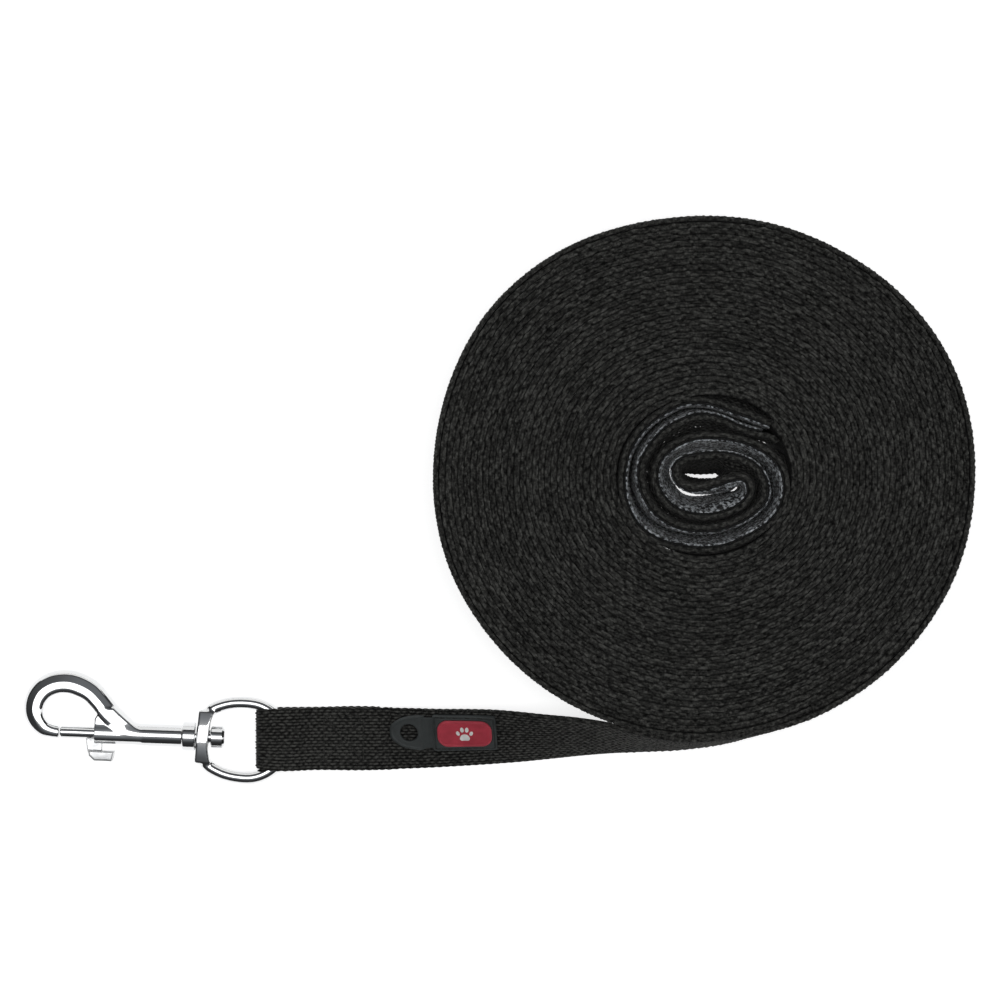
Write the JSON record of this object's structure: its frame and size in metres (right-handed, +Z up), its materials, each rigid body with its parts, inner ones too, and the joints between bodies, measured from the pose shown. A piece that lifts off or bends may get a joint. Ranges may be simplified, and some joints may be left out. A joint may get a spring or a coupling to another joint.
{
  "type": "dog training leash",
  "caption": "Long flat webbing training leash wound on edge into a disc, with a padded hand loop rolled in its middle, a rubber label with a tab, and a swivel bolt snap.",
  "frame": {"origin": "middle of the underside of the whole object's bounding box, on the surface that the wound leash lies on", "axes": "+Z up through the coil's winding axis direction, +X along the free end from the snap towards the coil, +Y across the coil"},
  "size_m": [0.3034, 0.181, 0.0201],
  "materials": {
    "chrome": "bright nickel-chrome plating, mirror polish",
    "spring_steel": "drawn spring wire",
    "webbing": "matte black woven webbing with a ribbed face",
    "lining": "grey knit-faced foam lining",
    "thread": "black bonded sewing thread",
    "rubber": "matte dark grey moulded rubber",
    "red_rubber": "satin red moulded rubber"
  },
  "bodies": {
    "leash": {"strap_coil": "webbing", "strap_lead": "webbing", "strap_tail": "webbing", "strap_bend": "webbing", "hand_loop_strap": "webbing", "hand_loop_lining": "lining", "hand_loop_joint_stitching": "thread", "lining_stitching": "thread", "snap_end_stitching": "thread", "label_badge": "rubber", "label_stitching": "thread", "label_emblem": "red_rubber"},
    "eye": {"swivel_eye": "chrome", "strap_fold": "webbing"},
    "snap": {"hook_body": "chrome", "swivel_rivet": "chrome", "bolt_spring": "spring_steel"},
    "bolt": {"gate_bolt": "chrome", "thumb_catch": "chrome"},
    "tab": {"label_tab": "rubber"}
  },
  "joints": [
    {"name": "eye_flex", "type": "hinge", "parent": "leash", "child": "eye", "pos_m": [-0.05717, -0.07628, 0.002], "axis": [0, 1, 0], "range_deg": [0, 90]},
    {"name": "snap_swivel", "type": "hinge", "parent": "eye", "child": "snap", "pos_m": [-0.0937, -0.07524, 0.00475], "axis": [0.9994, -0.0349, 0], "continuous": true},
    {"name": "bolt_slide", "type": "slide", "parent": "snap", "child": "bolt", "axis": [0.9994, -0.0349, 0], "range_m": [0, 0.011], "stiffness_N_per_m": 250, "springref_m": -0.004, "deforming": ["bolt_spring"]},
    {"name": "tab_lift", "type": "hinge", "parent": "leash", "child": "tab", "pos_m": [-0.02128, -0.08, 0.00387], "axis": [-0.0371, 0.9652, 0.2588], "range_deg": [0, 95], "stiffness_Nm_per_rad": 0.0001}
  ]
}
